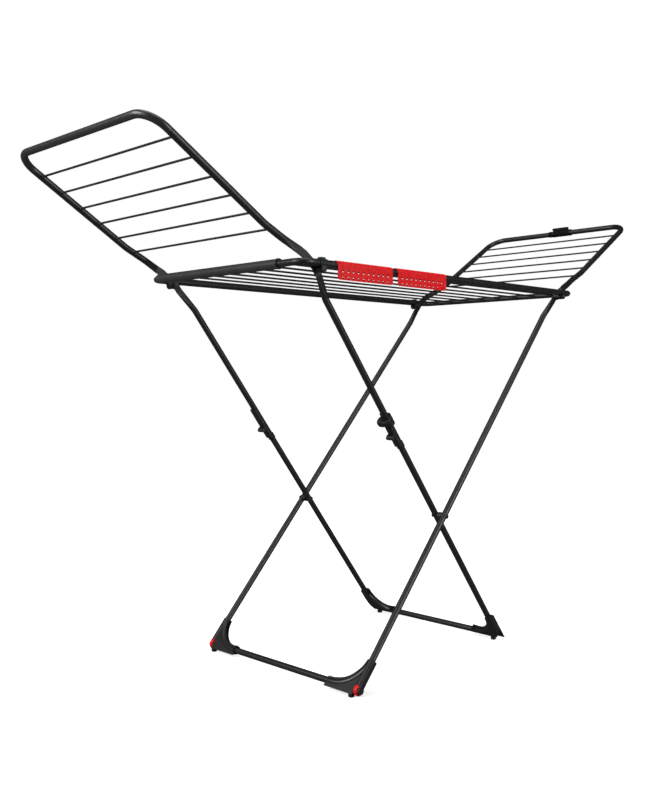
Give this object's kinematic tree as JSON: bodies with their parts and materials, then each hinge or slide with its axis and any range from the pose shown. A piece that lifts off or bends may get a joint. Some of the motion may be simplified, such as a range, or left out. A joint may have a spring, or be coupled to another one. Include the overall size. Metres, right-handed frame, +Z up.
{
  "type": "clothes_drying_rack",
  "caption": "Folding winged clothes drying rack of dark grey powder-coated tube and wire, with crossed folding legs, red wheels and red hanger strips",
  "frame": {"origin": "centre of the bounding box in plan, on the floor under the feet", "axes": "+X along the rack from the left wing to the right wing, +Y from the near side with the hanger strips to the far side, +Z up"},
  "size_m": [1.8684, 0.5696, 1.2483],
  "materials": {
    "tube_black": "satin",
    "grip_grey": "satin",
    "black_plastic": "matte",
    "red_plastic": "satin",
    "wheel_red": "satin",
    "dark_steel": "satin",
    "foot_rubber": "matte"
  },
  "bodies": {
    "main_frame": {"frame_side_tube_near": "tube_black", "frame_side_tube_far": "tube_black", "frame_end_bar_left": "tube_black", "frame_end_bar_right": "tube_black", "end_bar_sleeve": "grip_grey", "drying_wire_1": "tube_black", "drying_wire_2": "tube_black", "drying_wire_3": "tube_black", "drying_wire_4": "tube_black", "drying_wire_5": "tube_black", "drying_wire_6": "tube_black", "drying_wire_7": "tube_black", "drying_wire_8": "tube_black", "hinge_bracket_left_near": "black_plastic", "hinge_bracket_left_far": "black_plastic", "hinge_bracket_right_near": "black_plastic", "hinge_bracket_right_far": "black_plastic", "hinge_rivets": "dark_steel"},
    "wing_left": {"wing_left_arm_near": "tube_black", "wing_left_arm_far": "tube_black", "wing_left_outer_bar": "tube_black", "wing_left_wires": "tube_black"},
    "wing_right": {"wing_right_arm_near": "tube_black", "wing_right_arm_far": "tube_black", "wing_right_outer_bar": "tube_black", "wing_right_wires": "tube_black"},
    "latch": {"wing_latch": "black_plastic"},
    "strip_1": {"flap_1": "red_plastic"},
    "strip_2": {"flap_2": "red_plastic"},
    "outer_legs": {"outer_leg_near": "tube_black", "outer_leg_far": "tube_black", "outer_leg_base": "tube_black", "outer_foot_near": "black_plastic", "outer_foot_far": "black_plastic", "outer_foot_pads": "foot_rubber", "wheel_axles": "dark_steel", "crossing_rivets": "dark_steel", "crossing_spacers": "black_plastic"},
    "near_wheel": {"wheel_near": "wheel_red"},
    "far_wheel": {"wheel_far": "wheel_red"},
    "upper_legs": {"upper_leg_near": "tube_black", "upper_leg_far": "tube_black", "knee_upper_housing_near": "black_plastic", "knee_upper_housing_far": "black_plastic", "knee_pins": "dark_steel"},
    "lock_ring": {"knee_lock": "black_plastic"},
    "lower_legs": {"inner_leg_near": "tube_black", "inner_leg_far": "tube_black", "inner_leg_base": "tube_black", "knee_lower_housing_near": "black_plastic", "knee_lower_housing_far": "black_plastic", "inner_foot_near": "black_plastic", "inner_foot_far": "black_plastic", "inner_foot_pads": "foot_rubber", "crossing_caps": "dark_steel"}
  },
  "joints": [
    {"name": "wing_left_fold", "type": "hinge", "parent": "main_frame", "child": "wing_left", "pos_m": [-0.493, 0, 0.971], "axis": [0, 1, 0], "range_deg": [0, 140]},
    {"name": "wing_right_fold", "type": "hinge", "parent": "main_frame", "child": "wing_right", "pos_m": [0.493, 0, 0.971], "axis": [0, -1, 0], "range_deg": [0, 137]},
    {"name": "latch_turn", "type": "hinge", "parent": "wing_right", "child": "latch", "pos_m": [0.9248, 0, 1.2283], "axis": [0, -1, 0], "range_deg": [-90, 15]},
    {"name": "flap_1_swing", "type": "hinge", "parent": "main_frame", "child": "strip_1", "pos_m": [-0.36, -0.275, 0.982], "axis": [1, 0, 0], "range_deg": [-60, 10]},
    {"name": "flap_2_swing", "type": "hinge", "parent": "main_frame", "child": "strip_2", "pos_m": [-0.158, -0.275, 0.982], "axis": [1, 0, 0], "range_deg": [-60, 10]},
    {"name": "leg_fold", "type": "hinge", "parent": "main_frame", "child": "outer_legs", "pos_m": [0.493, 0, 0.971], "axis": [0, 1, 0], "range_deg": [0, 44.4]},
    {"name": "wheel_near_spin", "type": "hinge", "parent": "outer_legs", "child": "near_wheel", "pos_m": [-0.364, -0.2645, 0.016], "axis": [0, 1, 0], "continuous": true},
    {"name": "wheel_far_spin", "type": "hinge", "parent": "outer_legs", "child": "far_wheel", "pos_m": [-0.364, 0.2645, 0.016], "axis": [0, 1, 0], "continuous": true},
    {"name": "upper_leg_fold", "type": "hinge", "parent": "main_frame", "child": "upper_legs", "pos_m": [-0.493, 0, 0.971], "axis": [0, -1, 0], "range_deg": [0, 50.36]},
    {"name": "knee_fold", "type": "hinge", "parent": "upper_legs", "child": "lower_legs", "pos_m": [-0.21873, 0, 0.58895], "axis": [0, 1, 0], "range_deg": [0, 178.24]},
    {"name": "knee_lock_slide", "type": "slide", "parent": "upper_legs", "child": "lock_ring", "axis": [-0.6122, 0, 0.7907], "range_m": [0, 0.02]}
  ],
  "couplings": [
    {"joint": "upper_leg_fold", "follows": "leg_fold", "ratio": 1.1331},
    {"joint": "knee_fold", "follows": "leg_fold", "ratio": 4.0132}
  ]
}
